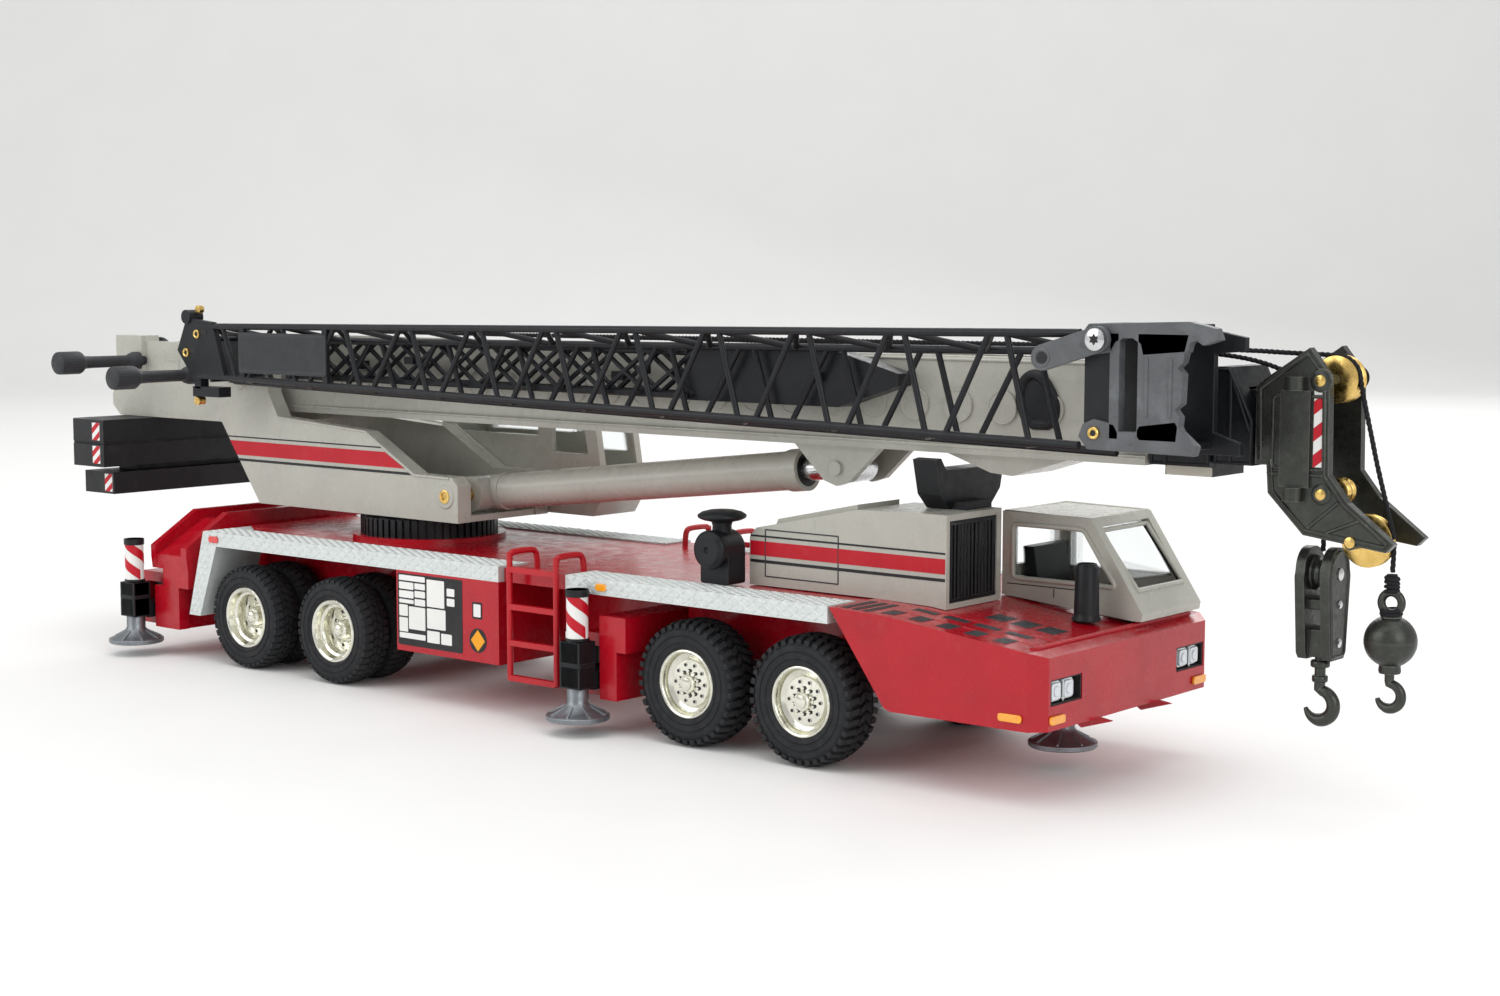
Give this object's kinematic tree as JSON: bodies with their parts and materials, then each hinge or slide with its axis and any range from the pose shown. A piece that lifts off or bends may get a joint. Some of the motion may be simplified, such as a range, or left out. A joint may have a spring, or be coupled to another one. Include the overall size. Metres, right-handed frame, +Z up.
{
  "type": "toy crane truck",
  "caption": "Toy mobile crane on a multi-axle carrier, with slewing cab, telescopic boom, stowed lattice jib, outriggers, winches and hooks.",
  "frame": {"origin": "centre of the overall box at ground level", "axes": "+X to the front of the truck, +Y to its left side, +Z up"},
  "size_m": [0.2921, 0.0676, 0.0719],
  "materials": {
    "red_paint": "glossy",
    "red_plastic": "semi-gloss",
    "tread_plate": "embossed",
    "grey_paint": "semi-gloss",
    "cab_glass": "clear",
    "black_plastic": "satin",
    "worn_grey_plastic": "rubbed",
    "black_paint": "satin",
    "lamp_lens": "clear gloss",
    "grey_metal": "satin",
    "chrome_rim": "polished",
    "tyre_rubber": "matte",
    "brass": "polished",
    "gunmetal": "burnished",
    "black_rope": "twisted"
  },
  "bodies": {
    "carrier": {"chassis": "red_paint", "deck_plates": "tread_plate", "ladders": "red_plastic", "carrier_cab": "grey_paint", "carrier_cab_glass": "cab_glass", "carrier_cab_interior": "black_plastic", "engine_hood": "grey_paint", "radiator_grille": "black_plastic", "air_cleaner": "black_plastic", "lamps": "lamp_lens", "slew_gear": "black_plastic"},
    "steer_beam_front": {"steer_beam_1": "grey_metal"},
    "steer_beam_second": {"steer_beam_2": "grey_metal"},
    "wheels_1": {"wheelset_1": "chrome_rim", "tyres_1": "tyre_rubber"},
    "wheels_2": {"wheelset_2": "chrome_rim", "tyres_2": "tyre_rubber"},
    "wheels_3": {"wheelset_3": "chrome_rim", "tyres_3": "tyre_rubber"},
    "wheels_4": {"wheelset_4": "chrome_rim", "tyres_4": "tyre_rubber"},
    "outrigger_mid_right": {"beam_mid_right": "black_plastic"},
    "outrigger_mid_left": {"beam_mid_left": "black_plastic"},
    "outrigger_rear_right": {"beam_rear_right": "black_plastic"},
    "outrigger_rear_left": {"beam_rear_left": "black_plastic"},
    "leg_mid_right": {"jack_mid_right": "grey_metal"},
    "leg_mid_left": {"jack_mid_left": "grey_metal"},
    "leg_rear_right": {"jack_rear_right": "grey_metal"},
    "leg_rear_left": {"jack_rear_left": "grey_metal"},
    "leg_front": {"front_jack": "grey_metal"},
    "upper": {"superstructure": "grey_paint", "counterweight": "black_paint", "operator_cab": "grey_paint", "operator_cab_glass": "cab_glass", "pivot_pins": "brass"},
    "drum_front": {"front_winch": "black_plastic"},
    "drum_rear": {"rear_winch": "black_plastic"},
    "cylinder": {"lift_cylinder": "grey_paint"},
    "rod": {"lift_rod": "chrome_rim"},
    "boom": {"boom_base": "grey_paint", "jib_lattice": "black_plastic", "jib_lacing": "black_plastic", "jib_fly": "black_plastic", "jib_bracket": "worn_grey_plastic", "jib_pins": "brass"},
    "link": {"jib_link": "black_plastic"},
    "section_2": {"boom_section_2": "black_plastic"},
    "section_3": {"boom_section_3": "black_plastic"},
    "section_4": {"boom_section_4": "black_plastic", "boom_head": "gunmetal", "main_rope": "black_rope", "aux_rope": "black_rope"},
    "sheave_top": {"top_sheave": "brass"},
    "sheave_guide": {"guide_sheave": "brass"},
    "sheave_nose": {"nose_sheave": "brass"},
    "main_fall": {"main_rope_tail": "black_rope"},
    "block": {"hook_block": "gunmetal"},
    "hook": {"main_hook": "gunmetal"},
    "aux_fall": {"aux_rope_tail": "black_rope"},
    "ball": {"hook_ball": "gunmetal"}
  },
  "joints": [
    {"name": "steer_front", "type": "hinge", "parent": "carrier", "child": "steer_beam_front", "pos_m": [0.0552, 0, 0.012], "axis": [0, 0, 1], "range_deg": [-7, 7]},
    {"name": "steer_second", "type": "hinge", "parent": "carrier", "child": "steer_beam_second", "pos_m": [0.031, 0, 0.012], "axis": [0, 0, 1], "range_deg": [-5.5, 5.5]},
    {"name": "roll_1", "type": "hinge", "parent": "steer_beam_front", "child": "wheels_1", "pos_m": [0.0552, 0, 0.01065], "axis": [0, 1, 0], "continuous": true},
    {"name": "roll_2", "type": "hinge", "parent": "steer_beam_second", "child": "wheels_2", "pos_m": [0.031, 0, 0.01065], "axis": [0, 1, 0], "continuous": true},
    {"name": "roll_3", "type": "hinge", "parent": "carrier", "child": "wheels_3", "pos_m": [-0.0585, 0, 0.01025], "axis": [0, 1, 0], "continuous": true},
    {"name": "roll_4", "type": "hinge", "parent": "carrier", "child": "wheels_4", "pos_m": [-0.0849, 0, 0.01025], "axis": [0, 1, 0], "continuous": true},
    {"name": "extend_mid_right", "type": "slide", "parent": "carrier", "child": "outrigger_mid_right", "axis": [0, -1, 0], "range_m": [0, 0.025]},
    {"name": "jack_mid_right", "type": "slide", "parent": "outrigger_mid_right", "child": "leg_mid_right", "axis": [0, 0, -1], "range_m": [0, 0.005]},
    {"name": "extend_mid_left", "type": "slide", "parent": "carrier", "child": "outrigger_mid_left", "axis": [0, 1, 0], "range_m": [0, 0.025]},
    {"name": "jack_mid_left", "type": "slide", "parent": "outrigger_mid_left", "child": "leg_mid_left", "axis": [0, 0, -1], "range_m": [0, 0.005]},
    {"name": "extend_rear_right", "type": "slide", "parent": "carrier", "child": "outrigger_rear_right", "axis": [0, -1, 0], "range_m": [0, 0.025]},
    {"name": "jack_rear_right", "type": "slide", "parent": "outrigger_rear_right", "child": "leg_rear_right", "axis": [0, 0, -1], "range_m": [0, 0.005]},
    {"name": "extend_rear_left", "type": "slide", "parent": "carrier", "child": "outrigger_rear_left", "axis": [0, 1, 0], "range_m": [0, 0.025]},
    {"name": "jack_rear_left", "type": "slide", "parent": "outrigger_rear_left", "child": "leg_rear_left", "axis": [0, 0, -1], "range_m": [0, 0.005]},
    {"name": "jack_front", "type": "slide", "parent": "carrier", "child": "leg_front", "axis": [0, 0, -1], "range_m": [0, 0.006]},
    {"name": "slew", "type": "hinge", "parent": "carrier", "child": "upper", "pos_m": [-0.0583, 0, 0.031], "axis": [0, 0, 1], "continuous": true},
    {"name": "front_winch_turn", "type": "hinge", "parent": "upper", "child": "drum_front", "pos_m": [-0.1156, 0, 0.057], "axis": [0, 1, 0], "range_deg": [0, 350]},
    {"name": "rear_winch_turn", "type": "hinge", "parent": "upper", "child": "drum_rear", "pos_m": [-0.1346, 0, 0.0595], "axis": [0, 1, 0], "range_deg": [0, 260]},
    {"name": "luff", "type": "hinge", "parent": "upper", "child": "boom", "pos_m": [-0.1026, 0, 0.0585], "axis": [0, -1, 0], "range_deg": [0, 60]},
    {"name": "cylinder_swing", "type": "hinge", "parent": "upper", "child": "cylinder", "pos_m": [-0.0406, 0, 0.0362], "axis": [0, -1, 0], "range_deg": [0, 76.32]},
    {"name": "rod_slide", "type": "slide", "parent": "cylinder", "child": "rod", "axis": [0.9936, 0, 0.1129], "range_m": [0, 0.06039]},
    {"name": "extend_section_2", "type": "slide", "parent": "boom", "child": "section_2", "axis": [1, 0, 0], "range_m": [0, 0.15]},
    {"name": "extend_section_3", "type": "slide", "parent": "boom", "child": "section_3", "axis": [1, 0, 0], "range_m": [0, 0.301]},
    {"name": "extend_section_4", "type": "slide", "parent": "boom", "child": "section_4", "axis": [1, 0, 0], "range_m": [0, 0.451]},
    {"name": "jib_link_swing", "type": "hinge", "parent": "boom", "child": "link", "pos_m": [0.1079, -0.024, 0.0692], "axis": [0, 1, 0], "range_deg": [-60, 20]},
    {"name": "top_sheave_turn", "type": "hinge", "parent": "section_4", "child": "sheave_top", "pos_m": [0.1336, 0, 0.0635], "axis": [0, 1, 0], "range_deg": [0, 290]},
    {"name": "guide_sheave_turn", "type": "hinge", "parent": "section_4", "child": "sheave_guide", "pos_m": [0.134, 0, 0.0474], "axis": [0, 1, 0], "range_deg": [-860, 0]},
    {"name": "nose_sheave_turn", "type": "hinge", "parent": "section_4", "child": "sheave_nose", "pos_m": [0.1386, 0, 0.0406], "axis": [0, 1, 0], "range_deg": [0, 262]},
    {"name": "main_fall_hang", "type": "hinge", "parent": "section_4", "child": "main_fall", "pos_m": [0.134, 0, 0.0474], "axis": [0, -1, 0], "range_deg": [-60.5, 0]},
    {"name": "main_block_drop", "type": "slide", "parent": "main_fall", "child": "block", "axis": [0, 0, -1], "range_m": [0, 0.0119]},
    {"name": "main_hook_swivel", "type": "hinge", "parent": "block", "child": "hook", "pos_m": [0.1317, 0, 0.024], "axis": [0, 0, 1], "continuous": true},
    {"name": "aux_fall_hang", "type": "hinge", "parent": "section_4", "child": "aux_fall", "pos_m": [0.1386, 0, 0.0406], "axis": [0, -1, 0], "range_deg": [-60.5, 0]},
    {"name": "ball_drop", "type": "slide", "parent": "aux_fall", "child": "ball", "axis": [0, 0, -1], "range_m": [0, 0.0149]}
  ],
  "couplings": [
    {"joint": "steer_second", "follows": "steer_front", "ratio": 0.75},
    {"joint": "cylinder_swing", "follows": "luff", "ratio": 1.2386},
    {"joint": "rod_slide", "follows": "luff", "m_per_rad": 0.056713},
    {"joint": "main_fall_hang", "follows": "luff", "ratio": -1},
    {"joint": "aux_fall_hang", "follows": "luff", "ratio": -1},
    {"joint": "extend_section_3", "follows": "extend_section_2", "ratio": 2},
    {"joint": "extend_section_4", "follows": "extend_section_2", "ratio": 3},
    {"joint": "front_winch_turn", "follows": "main_block_drop", "rad_per_m": 512.82},
    {"joint": "guide_sheave_turn", "follows": "main_block_drop", "rad_per_m": -1246.2},
    {"joint": "rear_winch_turn", "follows": "ball_drop", "rad_per_m": 303.03},
    {"joint": "top_sheave_turn", "follows": "ball_drop", "rad_per_m": 333.33},
    {"joint": "nose_sheave_turn", "follows": "ball_drop", "rad_per_m": 303.03}
  ]
}
